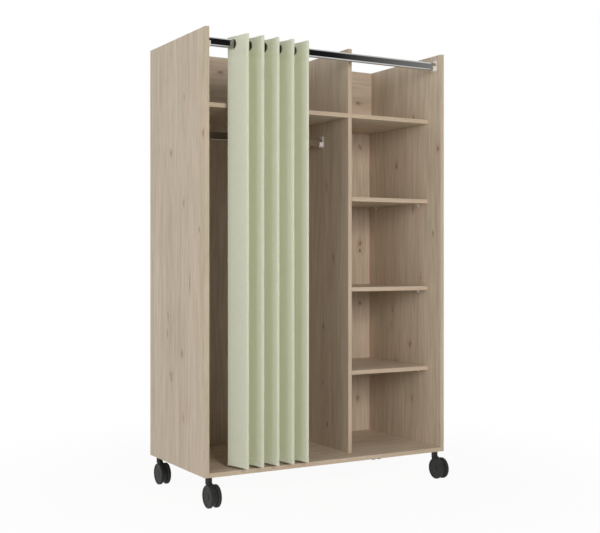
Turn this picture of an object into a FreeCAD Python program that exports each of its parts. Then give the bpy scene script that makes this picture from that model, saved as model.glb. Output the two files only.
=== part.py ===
import FreeCAD, Part
import math
import os

from FreeCAD import Vector

# Wardrobe on casters: a hanging bay and a bay of shelves behind a pleated curtain on a front rod.
# Millimetres. +X is to the right seen from the front, +Y to the back, +Z up.
# The origin is on the floor, at the middle of the overall width and of the overall depth.

# Boards
board = 15.0
back_sheet = 3.0
back_sheet_margin = 2.0
edge_radius = 0.8

# Carcass
width = 965.0
depth = 470.0
body_height = 1460.0
hanging_bay = 583.5
rail_height = 231.5

# Adjustable shelves: play at their ends and back, and how far each one stands from even spacing
shelf_play = 0.5
upper_shelf_shift = 5.5
middle_shelf_shift = -15.5
lower_shelf_shift = -11.0

# Oval tubes for the curtain and the clothes
tube_width = 15.0
tube_height = 30.0
tube_wall = 1.2
curtain_rod_setback = 33.0
curtain_rod_drop = 41.6
clothes_rod_shift = -13.0
clothes_rod_drop = 73.5

# Tube brackets: a plate with a cup that is open at the top
bracket_plate = 2.5
bracket_head = 8.5
bracket_foot = 1.5
cup_wall = 2.3
cup_play = 0.2
cup_depth = 13.0
cup_rise = 1.5
bracket_screw_spacing = 12.0
bracket_screw_radius = 1.75
bracket_screw_head = 3.2

# Curtain, gathered in pleats, with an eyelet in each panel between two folds
cloth = 1.6
pleats = 5
pleat_pitch = 56.8
pleat_front = 70.0
pleat_back = 24.0
pleat_clearance = 23.0
fold_radius = 4.0
curtain_side_gap = 93.0
curtain_floor_gap = 8.1
eyelet_drop = 25.2
eyelet_bore = 15.7
eyelet_barrel = 0.8
eyelet_flange = 1.2
eyelet_sheet = 0.9
eyelet_hang_gap = 0.3

# Casters with two wheels each, trailing towards the front
caster_height = 97.0
caster_side_inset = 9.0
caster_front_inset = 25.0
caster_back_inset = 30.0
caster_trail = 25.5
wheel_radius = 37.5
wheel_width = 11.5
wheel_gap = 14.5
wheel_rim = 5.0
wheel_face = 4.0
wheel_hub = 9.0
tread_round = 3.0
inner_round = 3.5
dish_inner = 12.0
dish_outer = 29.0
dish_depth = 1.0
axle_radius = 4.0
axle_end_gap = 0.3
running_gap = 0.05
swivel_gap = 0.3
stem_radius = 4.0
stem_length = 16.0
stem_floor_gap = 0.5
shoulder_radius = 6.0
shoulder = 3.5
boss_radius = 11.2
boss_round = 3.5
boss_clearance = 1.5
web_clearance = 0.75
web_neck = 9.0
web_disc = 32.0
insert_wall = 1.5
insert_cover = 2.0
thread_end_gap = 1.0

# Shelf pins: a round peg in the panel and an angle under the shelf
pin_radius = 2.5
pin_depth = 8.0
pin_sheet = 2.0
pin_drop = 11.0
pin_width = 10.0
pin_tab = 10.0
pin_front_inset = 57.0
pin_back_inset = 51.0

# Cam locks, dowels, screws and nails that hold the boards together
cam_radius = 7.5
cam_cover = 3.0
cam_reach = 24.0
cam_play = 0.1
cam_inset = 75.0
bolt_radius = 2.8
bolt_head = 3.4
bolt_head_length = 4.0
panel_skin = 5.0
dowel_radius = 4.0
dowel_reach = 20.0
dowel_inset = 115.0
rail_fastener_inset = 60.0
divider_screw_radius = 3.0
divider_screw_head = 5.0
divider_screw_reach = 35.0
nail_radius = 0.8
nail_head = 2.5
nail_head_sheet = 0.8
nail_reach = 15.0
nail_end_inset = 60.0
nail_spacing_up = 160.0
nail_spacing_across = 120.0

X = Vector(1, 0, 0)
Y = Vector(0, 1, 0)
Z = Vector(0, 0, 1)

# Planes that the pieces share, worked out from the sizes above
divider_setback = curtain_rod_setback + pleat_back + pleat_clearance
wheel_reach = caster_trail + wheel_radius - caster_front_inset
pleat_reach = pleat_front - curtain_rod_setback
front_reach = max(wheel_reach, pleat_reach)
left = -width / 2
right = width / 2
left_inner = left + board
right_inner = right - board
divider_left = left_inner + hanging_bay
divider_right = divider_left + board
front = front_reach - (front_reach + depth + back_sheet) / 2
divider_front = front + divider_setback
back = front + depth
base = caster_height
floor_top = base + board
top = base + body_height
top_shelf_top = top - rail_height
top_shelf_under = top_shelf_top - board
rail_front = back - board
curtain_rod_y = front + curtain_rod_setback
curtain_rod_z = top - curtain_rod_drop
clothes_rod_y = (divider_front + back) / 2 + clothes_rod_shift
clothes_rod_z = top_shelf_under - clothes_rod_drop
panel_hole = board - panel_skin
web = wheel_gap - 2 * web_clearance

pieces = {}
drilled = {}


def add(node, solid):
    """Puts one more solid into a node."""
    pieces.setdefault(node, []).append(solid)


def drill(node, tool):
    """Notes a shape to be taken out of a node's board."""
    drilled.setdefault(node, []).append(tool)


def rod(start, direction, radius, length):
    return Part.makeCylinder(radius, length, start, direction)


def block(low, high):
    size = high - low
    return Part.makeBox(size.x, size.y, size.z, low)


def round_end(solid, end, radius):
    """Rounds the edge of a cylinder's end, found by the end's centre."""
    rim = [edge for edge in solid.Edges if edge.CenterOfMass.isEqual(end, 1e-6)]
    return solid.makeFillet(radius, rim)


def countersunk_screw(face, inward, head_radius, shank_radius, length):
    head = Part.makeCone(head_radius, shank_radius, head_radius - shank_radius, face, inward)
    return head.fuse(rod(face, inward, shank_radius, length)).removeSplitter()


def plank(low, high, eased):
    """Board between two corners, rounded along each edge where two of the eased faces meet."""
    solid = block(low, high)
    planes = {
        "left": (0, low.x),
        "right": (0, high.x),
        "front": (1, low.y),
        "back": (1, high.y),
        "bottom": (2, low.z),
        "top": (2, high.z),
    }
    rounded = []
    for edge in solid.Edges:
        middle = edge.CenterOfMass
        meeting = [face for face, (axis, level) in planes.items() if abs(middle[axis] - level) < 1e-6]
        if all(face in eased for face in meeting):
            rounded.append(edge)
    return solid.makeFillet(edge_radius, rounded)


def add_carcass():
    """Side panels, bottom, divider, top shelves, back rails and back panel."""
    side_faces = ("left", "right", "front", "top", "bottom")
    shelf_faces = ("front", "top", "bottom")
    add("left_side_panel", plank(Vector(left, front, base), Vector(left_inner, back, top), side_faces))
    add("right_side_panel", plank(Vector(right_inner, front, base), Vector(right, back, top), side_faces))
    bottom_low = Vector(left_inner, front, base)
    add("bottom_panel", plank(bottom_low, Vector(right_inner, back, floor_top), shelf_faces))
    divider_faces = ("left", "right", "front", "top")
    divider_low = Vector(divider_left, divider_front, floor_top)
    add("divider_panel", plank(divider_low, Vector(divider_right, back, top), divider_faces))
    bays = (("left", left_inner, divider_left), ("right", divider_right, right_inner))
    for side, x_low, x_high in bays:
        shelf_low = Vector(x_low, divider_front, top_shelf_under)
        add(f"top_shelf_{side}", plank(shelf_low, Vector(x_high, back, top_shelf_top), shelf_faces))
        rail_low = Vector(x_low, rail_front, top_shelf_top)
        add(f"back_rail_{side}", plank(rail_low, Vector(x_high, back, top), ("front", "back", "top")))
    margin = back_sheet_margin
    sheet_low = Vector(left + margin, back, base + margin)
    sheet_high = Vector(right - margin, back + back_sheet, top_shelf_top - margin)
    add("back_panel", block(sheet_low, sheet_high))


def add_cam_lock(node, face, inward, across):
    """Cam lock in a board's end. face is where the bolt's axis meets the end, inward points along
    the board, and across points from the board's drilled side to its other side."""
    start = face + inward * cam_reach - across * (board / 2)
    slot = rod(face, inward, bolt_head + cam_play, cam_reach + cam_play)
    lock_height = board - cam_cover
    drill(node, rod(start, across, cam_radius + cam_play, lock_height))
    drill(node, rod(face, inward, bolt_head + cam_play, cam_reach))
    add("cam_locks", rod(start, across, cam_radius, lock_height).cut(slot))


def add_cam_joint(panel, node, face, inward, across):
    """Board's end pulled against a panel by a cam lock on a bolt that is screwed into the panel."""
    add_cam_lock(node, face, inward, across)
    thread_start = face - inward * panel_hole
    shank = rod(thread_start, inward, bolt_radius, panel_hole + cam_reach)
    head = rod(face + inward * (cam_reach - bolt_head_length), inward, bolt_head, bolt_head_length)
    add("cam_bolts", shank.fuse(head).removeSplitter())
    drill(panel, rod(thread_start, inward, bolt_radius, panel_hole))


def add_cam_pair(left_node, right_node, left_face, across):
    """Two boards pulled against the divider's two faces by one bolt with a head at each end."""
    right_face = left_face + X * board
    add_cam_lock(left_node, left_face, -X, across)
    add_cam_lock(right_node, right_face, X, across)
    start = left_face - X * cam_reach
    length = board + 2 * cam_reach
    bolt = rod(start, X, bolt_radius, length)
    for head_start in (start, right_face + X * (cam_reach - bolt_head_length)):
        bolt = bolt.fuse(rod(head_start, X, bolt_head, bolt_head_length))
    add("double_cam_bolts", bolt.removeSplitter())
    drill("divider_panel", rod(left_face, X, bolt_radius, board))


def add_dowel(nodes, start, direction, length):
    dowel = rod(start, direction, dowel_radius, length)
    add("dowels", dowel)
    for node in nodes:
        drill(node, dowel)


def add_end_fasteners(panel, node, face, inward, across):
    """Two cam joints and two dowels along the depth of a level board's end, from front to back."""
    for inset in (cam_inset, -cam_inset):
        y = face.y + inset if inset > 0 else back + inset
        add_cam_joint(panel, node, Vector(face.x, y, face.z), inward, across)
    for inset in (dowel_inset, -dowel_inset):
        y = face.y + inset if inset > 0 else back + inset
        start = Vector(face.x, y, face.z) - inward * panel_hole
        add_dowel((panel, node), start, inward, panel_hole + dowel_reach)


def add_board_fasteners():
    """Cam joints, dowels and screws between the boards. Cams open downwards, or backwards in the rails."""
    panels = (("left_side_panel", left_inner, X), ("right_side_panel", right_inner, -X))
    for (panel, x, inward), side in zip(panels, ("left", "right")):
        add_end_fasteners(panel, "bottom_panel", Vector(x, front, base + board / 2), inward, Z)
        shelf_face = Vector(x, divider_front, top_shelf_under + board / 2)
        add_end_fasteners(panel, f"top_shelf_{side}", shelf_face, inward, Z)
        rail_y = back - board / 2
        rail_cam = Vector(x, rail_y, top_shelf_top + rail_fastener_inset)
        add_cam_joint(panel, f"back_rail_{side}", rail_cam, inward, -Y)
        rail_dowel = Vector(x, rail_y, top - rail_fastener_inset) - inward * panel_hole
        add_dowel((panel, f"back_rail_{side}"), rail_dowel, inward, panel_hole + dowel_reach)
    shelf_z = top_shelf_under + board / 2
    shelves = ("top_shelf_left", "top_shelf_right")
    rails = ("back_rail_left", "back_rail_right")
    through = board + 2 * dowel_reach
    dowel_x = divider_left - dowel_reach
    for y in (divider_front + cam_inset, back - cam_inset):
        add_cam_pair(*shelves, Vector(divider_left, y, shelf_z), Z)
    for y in (divider_front + dowel_inset, back - dowel_inset):
        add_dowel((*shelves, "divider_panel"), Vector(dowel_x, y, shelf_z), X, through)
    add_cam_pair(*rails, Vector(divider_left, back - board / 2, top_shelf_top + rail_fastener_inset), -Y)
    rail_dowel = Vector(dowel_x, back - board / 2, top - rail_fastener_inset)
    add_dowel((*rails, "divider_panel"), rail_dowel, X, through)
    divider_x = (divider_left + divider_right) / 2
    for y in (divider_front + cam_inset, back - cam_inset):
        length = board + divider_screw_reach
        start = Vector(divider_x, y, base)
        screw = countersunk_screw(start, Z, divider_screw_head, divider_screw_radius, length)
        add("divider_screws", screw)
        drill("bottom_panel", screw)
        drill("divider_panel", screw)
    for y in (divider_front + dowel_inset, back - dowel_inset):
        start = Vector(divider_x, y, floor_top - panel_hole)
        add_dowel(("bottom_panel", "divider_panel"), start, Z, panel_hole + dowel_reach)


def even_places(low, high, widest):
    """Places spread evenly from low to high, both included, with no gap over the widest one."""
    gaps = math.ceil((high - low) / widest)
    return [low + (high - low) * i / gaps for i in range(gaps + 1)]


def add_nail(node, x, z):
    """Nail through the back panel into a board's back edge, its head flush with the panel."""
    face = Vector(x, back + back_sheet, z)
    head = rod(face, -Y, nail_head, nail_head_sheet)
    nail = head.fuse(rod(face, -Y, nail_radius, back_sheet + nail_reach)).removeSplitter()
    add("back_panel_nails", nail)
    drill("back_panel", nail)
    drill(node, nail)


def add_back_panel_nails():
    uprights = (
        ("left_side_panel", left + board / 2),
        ("divider_panel", (divider_left + divider_right) / 2),
        ("right_side_panel", right - board / 2),
    )
    for node, x in uprights:
        for z in even_places(floor_top + nail_end_inset, top_shelf_under - nail_end_inset, nail_spacing_up):
            add_nail(node, x, z)
    for side, x_low, x_high in (("left", left_inner, divider_left), ("right", divider_right, right_inner)):
        for x in even_places(x_low + nail_end_inset, x_high - nail_end_inset, nail_spacing_across):
            add_nail("bottom_panel", x, base + board / 2)
            add_nail(f"top_shelf_{side}", x, top_shelf_under + board / 2)


def add_shelf_pin(panel, x, y, under, inward):
    """Pin under a shelf: a peg in the panel, a plate against it and a tab that carries the shelf."""
    half = Y * (pin_width / 2)
    face = Vector(x, y, under)
    plate_reach = inward * pin_sheet
    tab_reach = inward * pin_tab
    corners = (
        (face - half - Z * pin_drop, face + half + plate_reach),
        (face - half - Z * pin_sheet, face + half + tab_reach),
    )
    peg_centre = face - Z * (pin_drop / 2)
    peg = rod(peg_centre - inward * pin_depth, inward, pin_radius, pin_depth)
    drill(panel, peg)
    pin = peg
    for a, b in corners:
        low = Vector(min(a.x, b.x), min(a.y, b.y), min(a.z, b.z))
        high = Vector(max(a.x, b.x), max(a.y, b.y), max(a.z, b.z))
        pin = pin.fuse(block(low, high))
    add("shelf_pins", pin.removeSplitter())


def add_adjustable_shelves():
    """Three loose shelves in the right bay, each lying on four pins."""
    even_gap = (top_shelf_under - floor_top - 3 * board) / 4
    shelves = (("lower", lower_shelf_shift), ("middle", middle_shelf_shift), ("upper", upper_shelf_shift))
    for below, (name, shift) in enumerate(shelves):
        under = floor_top + (below + 1) * even_gap + below * board + shift
        low = Vector(divider_right + shelf_play, divider_front, under)
        high = Vector(right_inner - shelf_play, back - shelf_play, under + board)
        add(f"shelf_{name}", plank(low, high, ("front", "top", "bottom")))
        for y in (divider_front + pin_front_inset, back - shelf_play - pin_back_inset):
            add_shelf_pin("divider_panel", divider_right, y, under, X)
            add_shelf_pin("right_side_panel", right_inner, y, under, -X)


def oval_bar(centre, across, height, length):
    """Bar along +X with an upright oval section, from the section's centre."""
    radius = across / 2
    rise = Z * (height / 2 - radius)
    side = Y * radius
    crown = Z * (height / 2)
    outline = [
        Part.LineSegment(centre - side - rise, centre - side + rise),
        Part.Arc(centre - side + rise, centre + crown, centre + side + rise),
        Part.LineSegment(centre + side + rise, centre + side - rise),
        Part.Arc(centre + side - rise, centre - crown, centre - side - rise),
    ]
    return Part.Face(Part.Wire([curve.toShape() for curve in outline])).extrude(X * length)


def cup_bar(centre, half_width, rise, length):
    """Bar along X with a U section: a round bottom about the centre and straight sides up to rise."""
    bottom = rod(centre, X * math.copysign(1, length), half_width, abs(length))
    far = centre + X * length
    low = Vector(min(centre.x, far.x), centre.y - half_width, centre.z)
    high = Vector(max(centre.x, far.x), centre.y + half_width, centre.z + rise)
    return bottom.fuse(block(low, high)).removeSplitter()


def add_bracket(node, panel, face, inward):
    """Tube bracket on a panel. face is where the tube's axis meets the panel."""
    bend = face - Z * ((tube_height - tube_width) / 2)
    inner_half = tube_width / 2 + cup_play
    outer_half = inner_half + cup_wall
    plate_rise = tube_height - tube_width / 2 + bracket_head
    cup_top = (tube_height - tube_width) / 2 + cup_rise
    plate_bend = bend - Z * bracket_foot
    plate = cup_bar(plate_bend, outer_half, plate_rise + bracket_foot, inward.x * bracket_plate)
    cup = cup_bar(bend, outer_half, cup_top, inward.x * (bracket_plate + cup_depth))
    hollow_start = bend + inward * bracket_plate
    hollow = cup_bar(hollow_start, inner_half, tube_height, inward.x * cup_depth)
    bracket = plate.fuse(cup.cut(hollow)).removeSplitter()
    for offset in (-bracket_screw_spacing / 2, bracket_screw_spacing / 2):
        start = face + inward * bracket_plate + Z * offset
        length = bracket_plate + panel_hole
        screw = countersunk_screw(start, -inward, bracket_screw_head, bracket_screw_radius, length)
        add("bracket_screws", screw)
        drill(panel, screw)
        bracket = bracket.cut(screw)
    add(node, bracket)


def add_tube(name, y, z, left_panel, left_x, right_panel, right_x):
    """Oval tube between two facing panels, with a bracket at each end."""
    add_bracket(f"{name}_bracket_left", left_panel, Vector(left_x, y, z), X)
    add_bracket(f"{name}_bracket_right", right_panel, Vector(right_x, y, z), -X)
    start = Vector(left_x + bracket_plate, y, z)
    length = right_x - left_x - 2 * bracket_plate
    bore = oval_bar(start, tube_width - 2 * tube_wall, tube_height - 2 * tube_wall, length)
    add(name, oval_bar(start, tube_width, tube_height, length).cut(bore))


def add_tubes():
    curtain_ends = ("left_side_panel", left_inner, "right_side_panel", right_inner)
    add_tube("curtain_rod", curtain_rod_y, curtain_rod_z, *curtain_ends)
    clothes_ends = ("left_side_panel", left_inner, "divider_panel", divider_left)
    add_tube("clothes_rod", clothes_rod_y, clothes_rod_z, *clothes_ends)


def pleat_centres(level):
    """Centres of the bends in the curtain's plan, by turns at the back and at the front. The first
    and the last stand for the two side hems, where the cloth ends straight."""
    inset = fold_radius + cloth / 2
    back_y = curtain_rod_y + pleat_back - inset
    front_y = curtain_rod_y - pleat_front + inset
    start_x = left_inner + curtain_side_gap
    return [
        Vector(start_x + i * pleat_pitch / 2, front_y if i % 2 else back_y, level)
        for i in range(2 * pleats + 1)
    ]


def panel_normal(start, end):
    """Normal, towards +X, of the flat panel that leaves one bend's right side for the next one's left."""
    along = end - start
    reach = along.Length
    along.normalize()
    across = Vector(abs(along.y), math.copysign(along.x, -along.y), 0)
    lean = 2 * fold_radius / reach
    return along * lean + across * math.sqrt(1 - lean**2)


def cloth_side(centres, offset):
    """Edges of one face of the cloth, offset from its middle, as lines joined by tangent arcs."""
    edges = []
    last = len(centres) - 2
    for i in range(last + 1):
        side = offset if i % 2 == 0 else -offset
        normal = panel_normal(centres[i], centres[i + 1])
        start = centres[i] + normal * (fold_radius + side)
        bend = fold_radius - side
        end = centres[i + 1] - normal * bend
        edges.append(Part.LineSegment(start, end).toShape())
        if i < last:
            outward = -Y if i % 2 == 0 else Y
            next_normal = panel_normal(centres[i + 1], centres[i + 2])
            arc_end = centres[i + 1] + next_normal * bend
            edges.append(Part.Arc(end, centres[i + 1] + outward * bend, arc_end).toShape())
    return edges


def add_curtain():
    """Pleated cloth with an eyelet in each flat panel, where the rod passes through it."""
    eyelet_z = curtain_rod_z + tube_height / 2 + eyelet_hang_gap - eyelet_bore
    hem_z = floor_top + curtain_floor_gap
    curtain_height = eyelet_z + eyelet_drop - hem_z
    centres = pleat_centres(hem_z)
    front_side = cloth_side(centres, cloth / 2)
    back_side = cloth_side(centres, -cloth / 2)
    ends = [
        Part.LineSegment(a.Vertexes[i].Point, b.Vertexes[i].Point).toShape()
        for a, b, i in ((front_side[0], back_side[0], 0), (front_side[-1], back_side[-1], 1))
    ]
    outline = Part.Wire(Part.__sortEdges__(front_side + back_side + ends))
    curtain = Part.Face(outline).extrude(Z * curtain_height)
    sleeve = eyelet_bore + eyelet_barrel
    holes = []
    for start, end in zip(centres, centres[1:]):
        normal = panel_normal(start, end)
        panel_start = start + normal * fold_radius
        run = end - normal * fold_radius - panel_start
        middle = panel_start + run * ((curtain_rod_y - panel_start.y) / run.y)
        middle.z = eyelet_z
        face = middle - normal * (cloth / 2)
        holes.append(rod(face - normal * cloth, normal, sleeve, 3 * cloth))
        add("curtain_eyelets", eyelet(face, normal, sleeve))
    add("curtain", curtain.cut(holes))


def eyelet(face, normal, sleeve):
    """Rolled metal eyelet: a sleeve through the cloth and a flange on each side of it."""
    flange = sleeve + eyelet_flange
    body = rod(face, normal, sleeve, cloth)
    for start in (face - normal * eyelet_sheet, face + normal * cloth):
        body = body.fuse(rod(start, normal, flange, eyelet_sheet))
    bore_start = face - normal * (2 * eyelet_sheet)
    return body.cut(rod(bore_start, normal, eyelet_bore, cloth + 4 * eyelet_sheet)).removeSplitter()


def wheel(hub_face, outward):
    """Hollow moulded wheel with a closed, dished outer face and a blind bore for the axle."""
    solid = rod(hub_face, outward, wheel_radius, wheel_width)
    solid = round_end(solid, hub_face + outward * wheel_width, tread_round)
    solid = round_end(solid, hub_face, inner_round)
    hollow_depth = wheel_width - wheel_face
    hollow = rod(hub_face, outward, wheel_radius - wheel_rim, hollow_depth)
    hollow = hollow.cut(rod(hub_face, outward, wheel_hub, hollow_depth))
    bore = rod(hub_face, outward, axle_radius + running_gap, hollow_depth)
    dish_start = hub_face + outward * (wheel_width - dish_depth)
    dish = rod(dish_start, outward, dish_outer, dish_depth)
    dish = dish.cut(rod(dish_start, outward, dish_inner, dish_depth))
    return solid.cut([hollow, bore, dish])


def link_plate(first, first_radius, second, second_radius):
    """Plate in the YZ plane round two circles and the two lines that touch both."""
    span = second - first
    reach = span.Length
    span.normalize()
    across = X.cross(span)
    lean = (first_radius - second_radius) / reach
    spread = math.sqrt(1 - lean**2)
    upper = span * lean + across * spread
    lower = span * lean - across * spread
    outline = [
        Part.LineSegment(first + upper * first_radius, second + upper * second_radius),
        Part.Arc(
            second + upper * second_radius, second + span * second_radius, second + lower * second_radius
        ),
        Part.LineSegment(second + lower * second_radius, first + lower * first_radius),
        Part.Arc(first + lower * first_radius, first - span * first_radius, first + upper * first_radius),
    ]
    return Part.Face(Part.Wire([curve.toShape() for curve in outline])).extrude(X * web)


def add_caster(place, x, y):
    """Twin-wheel caster: a stem in the bottom panel, a housing that turns on it, two wheels."""
    name = f"{place}_caster"
    insert_height = board - insert_cover
    thread_length = insert_height - thread_end_gap
    under = Vector(x, y, base)
    insert = rod(under, Z, stem_radius + insert_wall, insert_height)
    drill("bottom_panel", insert)
    add("caster_inserts", insert.cut(rod(under, Z, stem_radius, insert_height)))
    stem = rod(under - Z * (shoulder + stem_length), Z, stem_radius, shoulder + stem_length + thread_length)
    add(f"{name}_stem", stem.fuse(rod(under - Z * shoulder, Z, shoulder_radius, shoulder)).removeSplitter())

    axle_centre = Vector(x, y - caster_trail, wheel_radius)
    boss_top = base - shoulder - swivel_gap
    boss_over_rim = math.sqrt((wheel_radius + boss_clearance) ** 2 - (caster_trail - boss_radius) ** 2)
    boss_bottom = wheel_radius + boss_over_rim
    boss = rod(Vector(x, y, boss_bottom), Z, boss_radius, boss_top - boss_bottom)
    boss = round_end(boss, Vector(x, y, boss_top), boss_round)
    neck = Vector(x - web / 2, y, boss_bottom)
    plate = link_plate(neck, web_neck, axle_centre - X * (web / 2), web_disc)
    bore_depth = stem_length - swivel_gap + stem_floor_gap
    bore = rod(Vector(x, y, boss_top), -Z, stem_radius + running_gap, bore_depth)
    axle_hole = rod(axle_centre - X * web, X, axle_radius, 2 * web)
    add(f"{name}_housing", boss.fuse(plate).removeSplitter().cut([bore, axle_hole]))

    axle_half = wheel_gap / 2 + wheel_width - wheel_face - axle_end_gap
    add(f"{name}_axle", rod(axle_centre - X * axle_half, X, axle_radius, 2 * axle_half))
    for side, outward in (("left", -X), ("right", X)):
        add(f"{name}_wheel_{side}", wheel(axle_centre + outward * (wheel_gap / 2), outward))


def add_casters():
    x_places = {"left": left_inner + caster_side_inset, "right": right_inner - caster_side_inset}
    y_places = {"front": front + caster_front_inset, "back": back - caster_back_inset}
    for end, y in y_places.items():
        for side, x in x_places.items():
            add_caster(f"{end}_{side}", x, y)


add_carcass()
add_board_fasteners()
add_back_panel_nails()
add_adjustable_shelves()
add_tubes()
add_curtain()
add_casters()

os.makedirs("parts", exist_ok=True)
for node, solids in pieces.items():
    tools = drilled.get(node)
    shapes = [solid.cut(tools) for solid in solids] if tools else solids
    Part.makeCompound([part for shape in shapes for part in shape.Solids]).exportStep(f"parts/{node}.step")
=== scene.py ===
"""Finishes, cloth and eyelets for a wardrobe on casters with a pleated curtain, in metres."""

import math

import bpy
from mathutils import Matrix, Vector, noise


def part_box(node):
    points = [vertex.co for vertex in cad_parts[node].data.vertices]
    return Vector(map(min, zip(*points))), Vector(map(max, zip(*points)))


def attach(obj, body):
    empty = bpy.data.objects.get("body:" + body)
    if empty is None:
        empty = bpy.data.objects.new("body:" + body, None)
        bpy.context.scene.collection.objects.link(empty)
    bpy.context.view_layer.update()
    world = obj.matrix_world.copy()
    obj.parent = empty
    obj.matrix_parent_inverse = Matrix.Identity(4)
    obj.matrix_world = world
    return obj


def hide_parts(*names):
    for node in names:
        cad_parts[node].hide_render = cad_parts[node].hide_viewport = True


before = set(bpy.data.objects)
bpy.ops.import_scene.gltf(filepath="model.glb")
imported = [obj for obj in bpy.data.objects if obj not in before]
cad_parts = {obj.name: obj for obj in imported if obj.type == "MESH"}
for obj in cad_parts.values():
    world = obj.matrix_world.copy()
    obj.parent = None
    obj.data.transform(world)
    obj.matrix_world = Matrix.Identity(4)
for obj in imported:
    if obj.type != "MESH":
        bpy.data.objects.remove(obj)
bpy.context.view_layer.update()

MM = 0.001

# Photograph's frame and the camera that fits it
image_width = 600
focal_pixels = 1043.3
horizon_above_middle = 7.9
camera_place = (-1.8994, -3.2815, 0.8062)
camera_turn = math.radians(30.01)
sensor_width = 36

# Studio: lamps, the floor with the reach of its shadow, and a dark card with the stretch where it lightens
lamp_aim = Vector((0, 0, 0.8))
lamp_distance = 5
room_light = 0.29
floor_size = 60
shadow_reach = (0.5, 1.8)
shadow_white = 0.94
card_size = 5.4
card_place = (0.7, -3.5, 3.2)
card_fade = (2.1, 3.3)
card_light = (0.018, 0.48)

# Curtain: pleats, cloth and hems
pleats = 5
fold_radius = 4 * MM
pinch = 3.5 * MM
free_pinch = 1.2 * MM
solid_cloth = 1.6 * MM
cloth = 1.2 * MM
hem_cloth = 1.9 * MM
bottom_hem = 20 * MM
side_hem = 14 * MM
heading = 60 * MM
hem_step = 1 * MM
hem_tail = 6 * MM
panel_steps = 10
fold_steps = 8
row_height = 15 * MM
cloth_crease = 40

# Curtain's hang: how far the cloth strays, and noise with waves across it, waves down it and a start
sway = 1.8 * MM
bow = 1.5 * MM
loosening = 1.3
sideways_waves = (9, 1.4, 3.1)
forward_waves = (11, 1.7, 8.4)
swell_waves = (2.7, 2.3, 5.9)

# Curtain's weave in millimetres, its stitches and the reach of the painted bounce light in its hollows
slub_width = 2.2
slub_length = 40
stitch_inset = 12 * MM
end_stitch_inset = 3 * MM
stitch_width = 0.7 * MM
stitch_pitch = 3.5 * MM
stitch_share = 0.7
painted_bounce_reach = 60 * MM

# Eyelets: half of a rolled ring's section, as places along its axis and out from it in millimetres
eyelet_half = (
    (1.2, 15.7),
    (2.1, 15.9),
    (2.5, 16.5),
    (2.2, 17.2),
    (1.5, 17.7),
    (1.15, 17.4),
    (1.15, 16.5),
)
eyelet_profile = [(-along, out) for along, out in eyelet_half] + list(reversed(eyelet_half))
eyelet_hole = 16.5 * MM
eyelet_steps = 48
eyelet_span = 0.1
eyelet_crease = 50
hole_cut = 8 * cloth
merge_distance = 0.01 * MM

# Printed oak: sizes across and along the grain in millimetres, how far it strays, and the knots' pull
drift_size = (140, 330)
drift_most = 12 * MM
noise_middle = (0.5, 0.5, 0.5)
speck_size = (2.5, 9)
ragged_size = (7, 18)
ragged_most = 1.5
knot_pull = 0.55
knot_reach = 5
beyond_board = 10

# Layers of the print's tone: sizes across and along the grain in millimetres, detail and share
tone_layers = (
    (60, 1500, 1, 0.32),
    (12, 210, 2, 0.44),
    (5, 90, 1, 0.24),
)

# Flecks and patches: the place each pattern starts from, sizes across and along, range, most and colour
print_patches = (
    ((0.0, 0.0, 0.0), 4.5, 34, 0.66, 0.82, 0.4, "#9a8974"),
    ((9.2, 1.4, 6.6), 22, 240, 0.52, 0.74, 0.5, "#bcae91"),
    ((3.7, 5.1, 8.3), 26, 300, 0.46, 0.72, 0.6, "#ccb5a2"),
)

# Halo and core of a knot: where each fades out and is full, in knot sizes from the middle, most and colour
knot_rings = (
    (2.6, 0.3, 0.55, "#ab8f74"),
    (1.2, -0.2, 0.75, "#715b47"),
)

# Knots of the printed grain, as places across and along it in millimetres with their width and length
side_knots = (
    (-201, 1213, 8, 11),
    (62, 1168, 7, 14),
    (-46, 993, 6, 12),
    (-170, 899, 4, 9),
    (-50, 1347, 4, 10),
    (-95, 727, 3.5, 28),
    (89, 608, 4, 22),
    (95, 546, 5, 12),
    (-29, 482, 8, 10),
    (63, 400, 9, 18),
    (-40, 270, 5, 12),
)
divider_knots = (
    (13, 1072, 5, 12),
    (-36, 808, 4, 16),
    (37, 555, 6, 9),
    (37, 345, 4, 8),
    (5, 196, 5, 9),
)
back_knots = (
    (422, 1258, 8, 9),
    (421, 868, 12, 13),
    (422, 837, 8, 9),
    (422, 625, 9, 8),
    (408, 243, 7, 9),
    (160, 1010, 8, 12),
    (-90, 760, 9, 11),
    (-300, 420, 7, 12),
)
rail_knots = (
    (1430, 403, 6, 12),
    (1388, 250, 5, 12),
    (1499, -210, 6, 14),
)

# Skins of tape and bare hardboard in two colours, and how squarely a face looks their way, as cosines.
# The tapes are the edge band's own colour darkened further, as painted shade that offsets the front light
# on the edges
shelf_tape_and_shade = ("#9f8d77", "#ae9c85")
upright_tape_and_shade = ("#8f8570", "#9e947f")
bare_hardboard = ("#75583f", "#977758")
skin_from, skin_full = 0.5, 0.8

# Marks on metal and lacquer, as sizes in millimetres on X, Y and Z
tube_marks = (160, 1.5, 1.5)
nickel_marks = (1.5, 1.5, 1.5)
steel_marks = (0.8, 0.8, 0.8)
cast_marks = (1.2, 1.2, 1.2)
lacquer_marks = (2, 2, 2)

# Beech's ray flecks across and along the dowel, and the nylon's moulded grain, in millimetres
ray_fleck = (0.8, 5)
spark_grain = 1.2
spark_share = 0.4


# Materials


def linear(colour):
    """Linear RGBA of an sRGB hex colour."""
    channels = [int(colour[i : i + 2], 16) / 255 for i in (1, 3, 5)]
    return [c / 12.92 if c <= 0.04045 else ((c + 0.055) / 1.055) ** 2.4 for c in channels] + [1.0]


def node(tree, kind, links=None, **settings):
    """Adds a shader node with its settings. links gives each input a value or another node's output."""
    made = tree.nodes.new("ShaderNode" + kind)
    for name, value in settings.items():
        setattr(made, name, value)
    for socket, value in (links or {}).items():
        if isinstance(value, bpy.types.NodeSocket):
            tree.links.new(value, made.inputs[socket])
        else:
            made.inputs[socket].default_value = value
    return made


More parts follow.
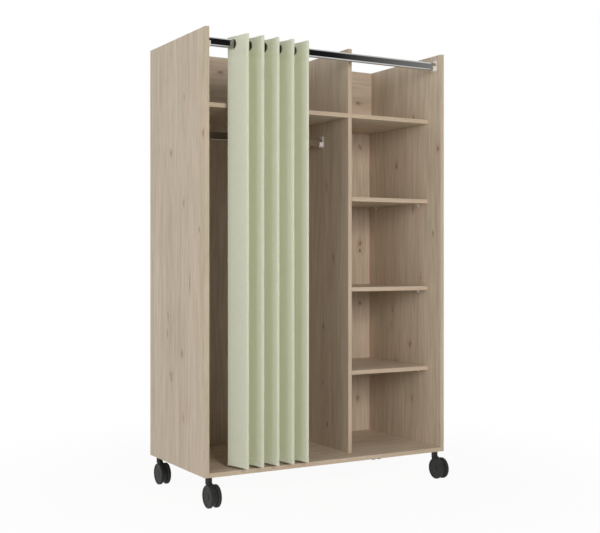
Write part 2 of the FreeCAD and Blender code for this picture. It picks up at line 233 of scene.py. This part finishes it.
def new_material(name):
    """An empty material and its tree, ready for a shader and an output."""
    material = bpy.data.materials.new(name)
    material.use_nodes = True
    material.node_tree.nodes.clear()
    return material, material.node_tree


def per_metre(grain, across, along):
    """Pattern repeats in a metre on X, Y and Z, from sizes in millimetres across and along the grain."""
    repeats = [1000 / across] * 3
    repeats["XYZ".index(grain)] = 1000 / along
    return repeats


def drifted(tree, place, grain):
    """A place on the board that strays a little, so that no streak runs quite straight."""
    drift = node(tree, "Mapping", {"Vector": place, "Scale": per_metre(grain, *drift_size)})
    drift = node(tree, "TexNoise", {"Vector": drift.outputs[0], "Scale": 1.0, "Detail": 1.0})
    drift = node(
        tree, "VectorMath", {0: drift.outputs["Color"], 1: noise_middle}, operation="SUBTRACT"
    )
    drift = node(tree, "VectorMath", {0: drift.outputs[0], "Scale": drift_most}, operation="SCALE")
    return node(tree, "VectorMath", {0: place, 1: drift.outputs[0]}, operation="ADD").outputs[0]


def knotted(tree, board, place, grain, thin, knots):
    """A place that is drawn in towards each knot's middle line, so that the grain bows round the knot, and
    the knots' stains. board is the place before any drift, for the noise that makes their rims ragged."""
    ragged = node(tree, "Mapping", {"Vector": board, "Scale": per_metre(grain, *ragged_size)})
    ragged = node(tree, "TexNoise", {"Vector": ragged.outputs[0], "Scale": 1.0, "Detail": 2.0})
    ragged = node(
        tree, "MapRange", {"Value": ragged.outputs[0], "To Min": -ragged_most, "To Max": ragged_most}
    )
    run, through = "XYZ".index(grain), "XYZ".index(thin)
    stains = []
    for across, along, width, length in knots:
        centre, size, pull = [across * MM] * 3, [width * MM] * 3, [-knot_pull * width * MM] * 3
        centre[run], size[run], pull[run] = along * MM, length * MM, 0.0
        centre[through], size[through], pull[through] = 0.0, beyond_board, 0.0
        local = node(
            tree, "Mapping", {"Vector": place, "Location": centre, "Scale": size}, vector_type="TEXTURE"
        ).outputs[0]
        away = node(tree, "VectorMath", {0: local}, operation="LENGTH").outputs["Value"]
        near = node(
            tree,
            "MapRange",
            {"Value": away, "From Min": knot_reach, "From Max": 0.0},
            interpolation_type="SMOOTHSTEP",
        )
        inwards = node(tree, "VectorMath", {0: local, 1: pull}, operation="MULTIPLY")
        place = node(
            tree,
            "VectorMath",
            {0: inwards.outputs[0], 1: near.outputs[0], 2: place},
            operation="MULTIPLY_ADD",
        ).outputs[0]
        worn = node(tree, "Math", {0: away, 1: ragged.outputs[0]}, operation="ADD").outputs[0]
        stains += [(worn, low, high, most, linear(paint)) for low, high, most, paint in knot_rings]
    return place, stains


def print_tone(tree, place, grain):
    """The print's tone from 0 to 1: bands, streaks and fine lines along the grain."""
    tone = 0.0
    for across, along, detail, share in tone_layers:
        layer = node(tree, "Mapping", {"Vector": place, "Scale": per_metre(grain, across, along)})
        layer = node(tree, "TexNoise", {"Vector": layer.outputs[0], "Scale": 1.0, "Detail": detail})
        tone = node(tree, "Math", {0: layer.outputs[0], 1: share, 2: tone}, operation="MULTIPLY_ADD")
        tone = tone.outputs[0]
    return node(tree, "MapRange", {"Value": tone, "From Min": 0.39, "From Max": 0.61}).outputs[0]


def patch_stains(tree, place, grain):
    """Stains of the print's dark flecks, and of its greener and pinker patches."""
    stains = []
    for start, across, along, low, high, most, paint in print_patches:
        patch = node(
            tree, "Mapping", {"Vector": place, "Location": start, "Scale": per_metre(grain, across, along)}
        )
        patch = node(tree, "TexNoise", {"Vector": patch.outputs[0], "Scale": 1.0, "Detail": 1.0})
        stains.append((patch.outputs[0], low, high, most, linear(paint)))
    return stains


def skin_stain(tree, coordinates, grain, facing, skin, cover):
    """Stain of the faces that look one way, specked with the skin's two colours."""
    speck = node(
        tree, "Mapping", {"Vector": coordinates["Object"], "Scale": per_metre(grain, *speck_size)}
    )
    speck = node(tree, "TexNoise", {"Vector": speck.outputs[0], "Scale": 1.0, "Detail": 2.0})
    paint = node(
        tree,
        "Mix",
        {0: speck.outputs[0], 6: linear(skin[0]), 7: linear(skin[1])},
        data_type="RGBA",
    )
    turned = node(tree, "VectorMath", {0: coordinates["Normal"], 1: facing}, operation="DOT_PRODUCT")
    return turned.outputs["Value"], skin_from, skin_full, cover, paint.outputs[2]


def oak_foil(name, grain, thin, knots=(), facing=None, skin=shelf_tape_and_shade, cover=0.5):
    """Oak-pattern foil pressed on chipboard. It is printed, so it is matt and nearly flat: pale grey-beige
    with soft bands, finer streaks along the grain that bend round a few small brown knots, and patches that
    are pinker or greener. thin is the axis through the board. facing is the way that faces with another
    skin look, and cover is how far the skin hides the print. A stain is a pattern with its range, the most
    that it covers and its paint."""
    material, tree = new_material(name)
    coordinates = node(tree, "TexCoord").outputs
    place = drifted(tree, coordinates["Object"], grain)
    place, knot_stains = knotted(tree, coordinates["Object"], place, grain, thin, knots)
    tone = print_tone(tree, place, grain)
    colour = node(
        tree, "Mix", {0: tone, 6: linear("#b6a791"), 7: linear("#cfc1ac")}, data_type="RGBA"
    ).outputs[2]
    stains = patch_stains(tree, place, grain) + knot_stains
    # Skin of the faces that look one way: bare hardboard in its own colour, or edge tape that is partly
    # painted shade
    if facing:
        stains.append(skin_stain(tree, coordinates, grain, facing, skin, cover))
    for pattern, low, high, most, paint in stains:
        mask = node(
            tree,
            "MapRange",
            {"Value": pattern, "From Min": low, "From Max": high, "To Max": most},
            interpolation_type="SMOOTHSTEP",
        )
        colour = node(
            tree, "Mix", {0: mask.outputs[0], 6: colour, 7: paint}, data_type="RGBA"
        ).outputs[2]
    rough = node(tree, "MapRange", {"Value": tone, "To Min": 0.52, "To Max": 0.44})
    bump = node(tree, "Bump", {"Height": tone, "Strength": 0.15, "Distance": 0.2 * MM})
    shader = node(
        tree,
        "BsdfPrincipled",
        {
            "Base Color": colour,
            "Roughness": rough.outputs[0],
            "Normal": bump.outputs[0],
            "Specular IOR Level": 0.35,
        },
    )
    node(tree, "OutputMaterial", {"Surface": shader.outputs[0]})
    return material


def beech(name):
    """Turned beech dowel, left bare: pinkish straw with short dark ray flecks along it."""
    material, tree = new_material(name)
    place = node(tree, "TexCoord").outputs["Object"]
    fleck = node(tree, "Mapping", {"Vector": place, "Scale": per_metre("X", *ray_fleck)})
    fleck = node(tree, "TexNoise", {"Vector": fleck.outputs[0], "Scale": 1.0, "Detail": 2.0}).outputs[0]
    mask = node(tree, "MapRange", {"Value": fleck, "From Min": 0.35, "From Max": 0.65})
    colour = node(
        tree,
        "Mix",
        {0: mask.outputs[0], 6: linear("#b98f63"), 7: linear("#dab78c")},
        data_type="RGBA",
    )
    bump = node(tree, "Bump", {"Height": fleck, "Strength": 0.2, "Distance": 0.1 * MM})
    shader = node(
        tree,
        "BsdfPrincipled",
        {"Base Color": colour.outputs[2], "Normal": bump.outputs[0], "Roughness": 0.65},
    )
    node(tree, "OutputMaterial", {"Surface": shader.outputs[0]})
    return material


def metal(name, dark, light, roughness, marks, metallic=1.0):
    """Metal, or lacquer on metal, whose tone and roughness wander over marks with sizes in millimetres on
    X, Y and Z, so that no reflection in it is quite even."""
    material, tree = new_material(name)
    place = node(tree, "TexCoord").outputs["Object"]
    wear = node(tree, "Mapping", {"Vector": place, "Scale": [1000 / size for size in marks]})
    wear = node(tree, "TexNoise", {"Vector": wear.outputs[0], "Scale": 1.0, "Detail": 2.0})
    wear = node(tree, "MapRange", {"Value": wear.outputs[0], "From Min": 0.3, "From Max": 0.7}).outputs[0]
    colour = node(tree, "Mix", {0: wear, 6: linear(dark), 7: linear(light)}, data_type="RGBA")
    rough = node(tree, "MapRange", {"Value": wear, "To Min": roughness[1], "To Max": roughness[0]})
    shader = node(
        tree,
        "BsdfPrincipled",
        {"Base Color": colour.outputs[2], "Roughness": rough.outputs[0], "Metallic": metallic},
    )
    node(tree, "OutputMaterial", {"Surface": shader.outputs[0]})
    return material


def moulded_nylon(name):
    """Filled nylon, moulded with a fine spark grain: charcoal and matt, and darker on every face that does
    not look along the axle.
    The grain is a few tenths of a millimetre and is drawn coarser, so that it shows."""
    material, tree = new_material(name)
    coordinates = node(tree, "TexCoord").outputs
    grain = node(
        tree,
        "TexNoise",
        {"Vector": coordinates["Object"], "Scale": 1000 / spark_grain, "Detail": 1.0},
    )
    # Darker on faces whose normal does not lie along X, the axle: tread and housing alike
    sideways = node(tree, "SeparateXYZ", {0: coordinates["Normal"]})
    sideways = node(tree, "Math", {0: sideways.outputs[0]}, operation="ABSOLUTE")
    face = node(tree, "MapRange", {"Value": sideways.outputs[0], "From Min": 0.1, "From Max": 0.6})
    tone = node(
        tree, "Math", {0: grain.outputs[0], 1: spark_share, 2: face.outputs[0]}, operation="MULTIPLY_ADD"
    )
    tone = node(tree, "MapRange", {"Value": tone.outputs[0], "From Max": 1 + spark_share})
    colour = node(
        tree,
        "Mix",
        {0: tone.outputs[0], 6: linear("#292929"), 7: linear("#333332")},
        data_type="RGBA",
    )
    rough = node(tree, "MapRange", {"Value": grain.outputs[0], "To Min": 0.45, "To Max": 0.65})
    bump = node(tree, "Bump", {"Height": grain.outputs[0], "Strength": 0.2, "Distance": 0.1 * MM})
    shader = node(
        tree,
        "BsdfPrincipled",
        {
            "Base Color": colour.outputs[2],
            "Roughness": rough.outputs[0],
            "Normal": bump.outputs[0],
            "Specular IOR Level": 0.2,
        },
    )
    node(tree, "OutputMaterial", {"Surface": shader.outputs[0]})
    return material


def slub_tone(tree, place):
    """The weave's tone from 0 to 1, by slubs along both threads. They are drawn coarser than the thread is,
    so that they show."""
    tone = 0.0
    for width, height in ((slub_width, slub_length), (slub_length, slub_width)):
        slub = node(tree, "Mapping", {"Vector": place, "Scale": (1000 / width, 1000 / height, 1)})
        slub = node(tree, "TexNoise", {"Vector": slub.outputs[0], "Scale": 1.0, "Detail": 2.0})
        tone = node(tree, "Math", {0: slub.outputs[0], 1: 0.5, 2: tone}, operation="MULTIPLY_ADD")
        tone = tone.outputs[0]
    return node(tree, "MapRange", {"Value": tone, "From Min": 0.3, "From Max": 0.7}).outputs[0]


def stitch_mask(tree, place, width, height):
    """1 on the stitches, which run in dashes down both sides and along the bottom hem and the heading."""
    along_width, along_height, _ = node(tree, "SeparateXYZ", {0: place}).outputs
    seams = (
        (along_width, along_height, stitch_inset),
        (along_width, along_height, width - stitch_inset),
        (along_height, along_width, bottom_hem - end_stitch_inset),
        (along_height, along_width, height - heading + end_stitch_inset),
    )
    stitched = 0.0
    for away, run, line in seams:
        on_line = node(tree, "Math", {0: away, 1: line, 2: stitch_width / 2}, operation="COMPARE")
        dash = node(tree, "Math", {0: run, 1: 1 / stitch_pitch}, operation="MULTIPLY")
        dash = node(tree, "Math", {0: dash.outputs[0]}, operation="FRACT")
        dash = node(tree, "Math", {0: dash.outputs[0], 1: stitch_share}, operation="LESS_THAN")
        seam = node(tree, "Math", {0: on_line.outputs[0], 1: dash.outputs[0]}, operation="MULTIPLY")
        stitched = node(tree, "Math", {0: seam.outputs[0], 1: stitched}, operation="MAXIMUM").outputs[0]
    return stitched


def woven_linen(name, width, height):
    """Plain-woven linen-look cloth, dyed pale sage: matt, with slubs along both threads that vary its tone,
    and hems held by a row of small stitches. width and height are the flat cloth's."""
    material, tree = new_material(name)
    place = node(tree, "TexCoord").outputs["UV"]
    tone = slub_tone(tree, place)
    colour = node(
        tree, "Mix", {0: tone, 6: linear("#c4c7b3"), 7: linear("#ced1bf")}, data_type="RGBA"
    ).outputs[2]

    # Painted bounce light: the hollows, found by occlusion, are painted yellower, standing in for light
    # that goes to and fro between two panels and takes on more of the dye
    openness = node(tree, "AmbientOcclusion", {"Distance": painted_bounce_reach}, samples=8, only_local=True)
    painted_bounce_mask = node(
        tree, "MapRange", {"Value": openness.outputs["AO"], "From Min": 0.75, "From Max": 0.35}
    )
    colour = node(
        tree, "Mix", {0: painted_bounce_mask.outputs[0], 6: colour, 7: linear("#cfd4b2")}, data_type="RGBA"
    ).outputs[2]
    stitched = stitch_mask(tree, place, width, height)
    colour = node(
        tree, "Mix", {0: stitched, 6: colour, 7: linear("#b8bba4")}, data_type="RGBA"
    ).outputs[2]
    bump = node(tree, "Bump", {"Height": tone, "Strength": 0.25, "Distance": 0.3 * MM})
    shader = node(
        tree,
        "BsdfPrincipled",
        {
            "Base Color": colour,
            "Normal": bump.outputs[0],
            "Roughness": 0.9,
            "Diffuse Roughness": 1.0,
            "Specular IOR Level": 0.08,
            "Sheen Weight": 0.04,
        },
    )
    node(tree, "OutputMaterial", {"Surface": shader.outputs[0]})
    return material


def dress(finish, *names):
    """Gives CAD nodes their finish."""
    for name in names:
        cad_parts[name].data.materials[0] = finish


# Curtain


def deselect():
    """Leaves nothing selected, so that an operator acts only on what is added or selected next."""
    bpy.ops.object.select_all(action="DESELECT")


def select_only(piece):
    """Leaves one piece selected and active."""
    deselect()
    piece.select_set(True)
    bpy.context.view_layer.objects.active = piece


def smooth(piece, degrees):
    """Shades a piece smooth, with its edges over an angle left sharp."""
    select_only(piece)
    bpy.ops.object.shade_smooth_by_angle(angle=math.radians(degrees))


def pleat_panels():
    """Ends of the flat panels between the folds, in plan, with each panel's normal towards +X, and the
    middles of the folds."""
    low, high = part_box("curtain")
    inset = fold_radius + solid_cloth / 2
    overhang = fold_radius - solid_cloth / 2
    pitch = (high.x - low.x + 2 * overhang) / (2 * pleats)
    back_y, front_y = high.y - inset, low.y + inset
    bends = [
        Vector((low.x - overhang + i * pitch, front_y if i % 2 else back_y)) for i in range(2 * pleats + 1)
    ]
    panels = []
    for a, b in zip(bends, bends[1:]):
        along = (b - a).normalized()
        across = Vector((abs(along.y), math.copysign(along.x, -along.y)))
        lean = 2 * fold_radius / (b - a).length
        normal = along * lean + across * math.sqrt(1 - lean**2)
        panels.append((a + normal * fold_radius, b - normal * fold_radius, normal))
    return panels, bends


def pinched(number, panel, share):
    """Point of a panel, which bows towards the inside of its front pleat. The end panels bow less."""
    start, end, normal = panel
    inwards = 1 if number % 2 == 0 else -1
    depth = free_pinch if number in (0, 2 * pleats - 1) else pinch
    return start.lerp(end, share) + normal * inwards * depth * math.sin(math.pi * share)


def fold_points(bend, arrive, leave, turn):
    """Points of the round fold between two panels with these normals, without its ends."""
    begin = math.atan2(-arrive.y, -arrive.x)
    sweep = (math.atan2(leave.y, leave.x) - begin) * turn % (2 * math.pi)
    angles = [begin + turn * sweep * k / fold_steps for k in range(1, fold_steps)]
    return [bend + Vector((math.cos(angle), math.sin(angle))) * fold_radius for angle in angles]


def pleat_line():
    """The cloth's middle line in plan, from the left hem to the right one: points with the distance along
    the cloth, the panel's number and how free the panel is to bow there. The first panel has the hem's
    tail, and the panels are returned with it."""
    panels, bends = pleat_panels()
    last = len(panels) - 1
    hem_ends = [side_hem, side_hem + hem_step]
    points = []
    distance = 0.0
    for i, (start, end, normal) in enumerate(panels):
        shares = [k / panel_steps for k in range(panel_steps + 1)]
        length = (end - start).length
        if i == 0:
            start = start + (start - end).normalized() * hem_tail
            length += hem_tail
            panels[0] = (start, end, normal)
            shares = sorted(shares + [d / length for d in hem_ends])
        if i == last:
            shares = sorted(shares + [1 - d / length for d in hem_ends])
        stretch = [(pinched(i, panels[i], share), math.sin(math.pi * share)) for share in shares]
        if i < last:
            turn = 1 if i % 2 == 0 else -1
            fold = fold_points(bends[i + 1], normal, panels[i + 1][2], turn)
            stretch += [(point, 0.0) for point in fold]
        for point, slack in stretch:
            if points:
                distance += (point - points[-1][0]).length
            points.append((point, distance, i, slack))
    return points, panels


def row_levels(height):
    """Heights of the cloth's rows, with two close together where a hem ends."""
    hems = [0.0, bottom_hem, bottom_hem + hem_step, height - heading - hem_step, height - heading, height]
    count = math.ceil(height / row_height)
    evenly = [height * i / count for i in range(1, count)]
    return sorted(hems + [z for z in evenly if all(abs(z - hem) > row_height / 3 for hem in hems)])


def stray(waves, across, share):
    """Smooth noise between -1 and 1 for a place across the cloth and a share of the way down it."""
    across_waves, down_waves, start = waves
    return noise.noise(Vector((across * across_waves, share * down_waves, start)))


def drape(point, normal, number, slack, share):
    """Moves a point of the cloth a little, as it hangs. share is from 0 at the rod to 1 at the hem."""
    loose = share**loosening
    sideways = stray(sideways_waves, point.x, share) * sway * loose
    forward = stray(forward_waves, point.x, share) * sway * loose
    swell = stray(swell_waves, number, share) * bow * slack * math.sqrt(loose)
    return point + Vector((sideways, forward)) + normal * swell


def lay_cloth(line, panels, bottom, height):
    """The hung cloth with no thickness yet: a grid set by the pleats' line and the rows. Its UV map is the
    flat cloth in metres, and a vertex group holds its hems."""
    levels = row_levels(height)
    width = line[-1][1]
    columns, rows = len(line) - 1, len(levels) - 1
    deselect()
    bpy.ops.mesh.primitive_grid_add(x_subdivisions=columns, y_subdivisions=rows, size=1)
    curtain = bpy.context.object
    curtain.name = "linen_curtain"
    mesh = curtain.data
    hems = curtain.vertex_groups.new(name="hems")
    flat = {}
    for vertex in mesh.vertices:
        i = round((vertex.co.x + 0.5) * columns)
        j = round((vertex.co.y + 0.5) * rows)
        point, distance, number, slack = line[i]
        level = levels[j]
        share = max(0.0, (height - heading - level) / (height - heading))
        hung = drape(point, panels[number][2], number, slack, share)
        vertex.co = (hung.x, hung.y, bottom + level)
        flat[vertex.index] = (distance, level)
        at_side = min(distance, width - distance) < side_hem + hem_step / 2
        at_end = level < bottom_hem + hem_step / 2 or level > height - heading - hem_step / 2
        if at_side or at_end:
            hems.add([vertex.index], 1.0, "REPLACE")
    for loop in mesh.loops:
        mesh.uv_layers.active.data[loop.index].uv = flat[loop.vertex_index]
    return curtain


def thicken(curtain):
    """Gives the cloth its thickness, and more of it at the hems."""
    thick = curtain.modifiers.new("thickness", "SOLIDIFY")
    thick.thickness = hem_cloth
    thick.offset = 0
    thick.vertex_group = "hems"
    thick.thickness_vertex_group = cloth / hem_cloth
    select_only(curtain)
    bpy.ops.object.modifier_apply(modifier=thick.name)


def eyelet_places(panels):
    """Centre of each eyelet, where the rod crosses a panel, and the turn about Z that faces the panel."""
    low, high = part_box("curtain_rod")
    rod_y = (low.y + high.y) / 2
    low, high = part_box("curtain_eyelets")
    level = (low.z + high.z) / 2
    for number, panel in enumerate(panels):
        start, end, _ = panel
        share = (rod_y - start.y) / (end.y - start.y)
        middle = pinched(number, panel, share)
        along = pinched(number, panel, share + eyelet_span) - pinched(number, panel, share - eyelet_span)
        facing = Vector((abs(along.y), math.copysign(along.x, -along.y)))
        yield Vector((middle.x, middle.y, level)), math.atan2(facing.y, facing.x)


def make_hole_cutter(panels):
    """Short round bars where the eyelets go, joined in one."""
    bars = []
    for place, turn in eyelet_places(panels):
        deselect()
        bpy.ops.mesh.primitive_cylinder_add(
            vertices=eyelet_steps,
            radius=eyelet_hole,
            depth=hole_cut,
            location=place,
            rotation=(0, math.pi / 2, turn),
        )
        bars.append(bpy.context.object)
    for bar in bars:
        bar.select_set(True)
    bpy.ops.object.join()
    return bpy.context.object


def cut_holes(curtain, panels):
    """Cuts the cloth for the eyelets."""
    cutter = make_hole_cutter(panels)
    holes = curtain.modifiers.new("holes", "BOOLEAN")
    holes.operation = "DIFFERENCE"
    holes.solver = "EXACT"
    holes.object = cutter
    select_only(curtain)
    bpy.ops.object.modifier_apply(modifier=holes.name)
    bpy.data.objects.remove(cutter)


def make_curtain():
    """The pleated cloth, shaped from a flat grid, given its thickness and hems and cut for the eyelets."""
    low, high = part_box("curtain")
    height = high.z - low.z
    line, panels = pleat_line()
    width = line[-1][1]
    curtain = lay_cloth(line, panels, low.z, height)
    thicken(curtain)
    cut_holes(curtain, panels)
    smooth(curtain, cloth_crease)
    curtain.data.materials.clear()
    curtain.data.materials.append(woven_linen("woven_linen", width, height))
    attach(curtain, "curtain")
    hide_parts("curtain")
    return curtain, (width, height)


def roll_eyelet(finish):
    """One rolled eyelet at the origin: its section spun round the X axis."""
    deselect()
    bpy.ops.mesh.primitive_circle_add(vertices=len(eyelet_profile), radius=1)
    eyelet = bpy.context.object
    for vertex, (along, out) in zip(eyelet.data.vertices, eyelet_profile):
        vertex.co = (along * MM, 0, out * MM)
    bpy.ops.object.mode_set(mode="EDIT")
    bpy.ops.mesh.select_all(action="SELECT")
    bpy.ops.mesh.spin(steps=eyelet_steps, angle=2 * math.pi, center=(0, 0, 0), axis=(1, 0, 0))
    bpy.ops.mesh.select_all(action="SELECT")
    bpy.ops.mesh.remove_doubles(threshold=merge_distance)
    bpy.ops.mesh.normals_make_consistent(inside=False)
    bpy.ops.object.mode_set(mode="OBJECT")
    eyelet.data.materials.append(finish)
    smooth(eyelet, eyelet_crease)
    return eyelet


def make_eyelets(panels, finish):
    """Rolled metal eyelets: one is made and then copied to each place."""
    first = roll_eyelet(finish)
    eyelets = []
    for number, (place, turn) in enumerate(eyelet_places(panels), 1):
        eyelet = first.copy()
        eyelet.data = first.data.copy()
        eyelet.name = f"curtain_eyelet_{number}"
        bpy.context.scene.collection.objects.link(eyelet)
        eyelet.location = place
        eyelet.rotation_euler = (0, 0, turn)
        select_only(eyelet)
        bpy.ops.object.transform_apply(location=True, rotation=True, scale=True)
        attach(eyelet, "curtain")
        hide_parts("curtain_eyelets")
        eyelets.append(eyelet)
    bpy.data.objects.remove(first)
    return eyelets


# Studio


def looked_at(tree):
    """1 for what the camera or a reflection sees, and 0 for the light that falls on the object."""
    path = node(tree, "LightPath").outputs
    seen = node(
        tree, "Math", {0: path["Is Camera Ray"], 1: path["Is Glossy Ray"]}, operation="MAXIMUM"
    )
    return seen.outputs[0]


def make_world():
    """Even light from all round. What the camera and polished metal see of it is white."""
    world = bpy.data.worlds.new("studio")
    bpy.context.scene.world = world
    world.use_nodes = True
    tree = world.node_tree
    tree.nodes.clear()
    soft = node(tree, "Background", {"Color": linear("#ffffff"), "Strength": room_light})
    white = node(tree, "Background", {"Color": linear("#ffffff"), "Strength": 1.0})
    mix = node(tree, "MixShader", {0: looked_at(tree), 1: soft.outputs[0], 2: white.outputs[0]})
    node(tree, "OutputWorld", {"Surface": mix.outputs[0]})


def make_floor():
    """Pale floor that keeps a soft shadow under the object and runs out to white."""
    deselect()
    bpy.ops.mesh.primitive_plane_add(size=floor_size)
    floor = bpy.context.object
    floor.name = "floor"
    material, tree = new_material("pale_floor")
    place = node(tree, "TexCoord").outputs["Object"]
    away = node(tree, "VectorMath", {0: place}, operation="LENGTH")
    glow = node(
        tree,
        "MapRange",
        {
            "Value": away.outputs["Value"],
            "From Min": shadow_reach[0],
            "From Max": shadow_reach[1],
            "To Min": shadow_white,
        },
        interpolation_type="SMOOTHSTEP",
    )
    share = node(tree, "Math", {0: looked_at(tree), 1: glow.outputs[0]}, operation="MULTIPLY")
    white = node(tree, "Emission", {"Color": linear("#ffffff"), "Strength": 1.0})
    matt = node(tree, "BsdfDiffuse", {"Color": linear("#f2f2f0")})
    mix = node(tree, "MixShader", {0: share.outputs[0], 1: matt.outputs[0], 2: white.outputs[0]})
    node(tree, "OutputMaterial", {"Surface": mix.outputs[0]})
    floor.data.materials.append(material)


def make_flag():
    """Dark card in front of the object that only reflections see, so that polished tube reads dark. It
    lightens to the right."""
    deselect()
    bpy.ops.mesh.primitive_plane_add(size=card_size, location=card_place, rotation=(math.pi / 2, 0, 0))
    flag = bpy.context.object
    flag.name = "dark_card"
    bpy.ops.object.transform_apply(location=True, rotation=True, scale=True)
    material, tree = new_material("dark_card")
    across = node(tree, "SeparateXYZ", {0: node(tree, "TexCoord").outputs["Object"]})
    shade = node(
        tree,
        "MapRange",
        {
            "Value": across.outputs[0],
            "From Min": card_fade[0],
            "From Max": card_fade[1],
            "To Min": card_light[0],
            "To Max": card_light[1],
        },
    )
    dark = node(tree, "Emission", {"Color": linear("#ffffff"), "Strength": shade.outputs[0]})
    node(tree, "OutputMaterial", {"Surface": dark.outputs[0]})
    flag.data.materials.append(material)
    flag.visible_camera = False
    flag.visible_diffuse = False
    flag.visible_shadow = False


def softbox(name, azimuth, elevation, size, watts, colour="#ffffff"):
    """Square lamp aimed at the object's middle from a distance. Azimuth 0 is in front, -90 on the left."""
    turn, rise = math.radians(azimuth), math.radians(elevation)
    away = Vector((math.sin(turn) * math.cos(rise), -math.cos(turn) * math.cos(rise), math.sin(rise)))
    data = bpy.data.lights.new(name, "AREA")
    data.energy = watts
    data.color = linear(colour)[:3]
    data.shape = "SQUARE"
    data.size = size
    lamp = bpy.data.objects.new(name, data)
    bpy.context.scene.collection.objects.link(lamp)
    lamp.location = lamp_aim + away * lamp_distance
    lamp.rotation_euler = (-away).to_track_quat("-Z", "Y").to_euler()
    lamp.visible_glossy = False


def make_camera():
    """Level camera that fits the photograph, with the horizon shifted instead of the camera tilted."""
    data = bpy.data.cameras.new("camera")
    data.sensor_width = sensor_width
    data.lens = focal_pixels / image_width * sensor_width
    data.shift_y = -horizon_above_middle / image_width
    camera = bpy.data.objects.new("camera", data)
    bpy.context.scene.collection.objects.link(camera)
    camera.location = camera_place
    camera.rotation_euler = (math.pi / 2, 0, -camera_turn)
    bpy.context.scene.camera = camera


# Camera, stage and lamps
bpy.context.scene.view_settings.view_transform = "Standard"
make_camera()
make_world()
make_floor()
make_flag()
softbox("front_box", azimuth=-9, elevation=12, size=1.7, watts=139, colour="#fffafa")
softbox("left_box", azimuth=-90, elevation=2, size=2.2, watts=20)
softbox("left_front_box", azimuth=-60, elevation=8, size=2.2, watts=54)
softbox("back_left_box", azimuth=-150, elevation=35, size=2.2, watts=25)

# Boards with oak-pattern foil and taped front edges, the tape darkened as painted shade
front = (0, -1, 0)
sides = oak_foil("oak_foil_side", "Z", "X", side_knots, front, upright_tape_and_shade)
dress(sides, "left_side_panel", "right_side_panel")
dress(oak_foil("oak_foil_divider", "Z", "X", divider_knots, front), "divider_panel")
flat_board = oak_foil("oak_foil_level", "X", "Z", facing=front)
dress(flat_board, "bottom_panel", "top_shelf_left", "top_shelf_right")
dress(flat_board, "shelf_upper", "shelf_middle", "shelf_lower")
dress(oak_foil("oak_foil_rail", "X", "Y", rail_knots), "back_rail_left", "back_rail_right")

# Hardboard with the foil on its front and its bare brown, fibrous side to the wall
back = (0, 1, 0)
hardboard = oak_foil("foiled_hardboard", "Z", "Y", back_knots, back, bare_hardboard, cover=1.0)
dress(hardboard, "back_panel")

# Chrome on drawn tube: a mirror with faint lines along the tube
chrome = metal("drawn_chrome", "#b8b8b6", "#c4c4c2", (0.05, 0.08), tube_marks)
dress(chrome, "curtain_rod")

# Satin chrome on the clothes rod, also drawn: duller and a little warmer
satin_chrome = metal("satin_chrome", "#aea496", "#bab0a2", (0.18, 0.22), tube_marks, metallic=0.85)
dress(satin_chrome, "clothes_rod")

# Satin nickel on die-cast brackets: pale and milky, with a soft sheen that shows no clear image
nickel = metal("satin_nickel", "#d6d3cb", "#e8e5de", (0.36, 0.46), nickel_marks, metallic=0.25)
dress(nickel, *(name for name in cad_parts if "_rod_bracket_" in name))

# Bright nickel on pressed shelf pins: whiter, with a tighter sheen
bright_nickel = metal("bright_nickel", "#efede8", "#fbfaf6", (0.25, 0.35), nickel_marks, metallic=0.2)
dress(bright_nickel, "shelf_pins")

# Bright zinc on turned steel: cool grey and half bright
steel = metal("zinc_plated_steel", "#a9abb0", "#c6c8cc", (0.28, 0.42), steel_marks)
dress(steel, "bracket_screws", "cam_bolts", "double_cam_bolts", "divider_screws", "back_panel_nails")
dress(steel, "caster_inserts")

# Cams cast from zinc: greyer and duller
dress(metal("cast_zinc", "#9b9b9a", "#b9b9b7", (0.4, 0.58), cast_marks), "cam_locks")

# Dowels and casters
dress(beech("turned_beech"), "dowels")
nylon = moulded_nylon("moulded_nylon")
for corner in ("front_left", "front_right", "back_left", "back_right"):
    dress(steel, f"{corner}_caster_stem", f"{corner}_caster_axle")
    dress(nylon, *(f"{corner}_caster_{part}" for part in ("housing", "wheel_left", "wheel_right")))

curtain, flat_size = make_curtain()

# Dark olive lacquer on rolled eyelets: soft gloss, close to the cloth's hue
lacquer = metal("olive_lacquer", "#86876c", "#96977c", (0.42, 0.55), lacquer_marks, metallic=0.0)
eyelets = make_eyelets(pleat_panels()[0], lacquer)
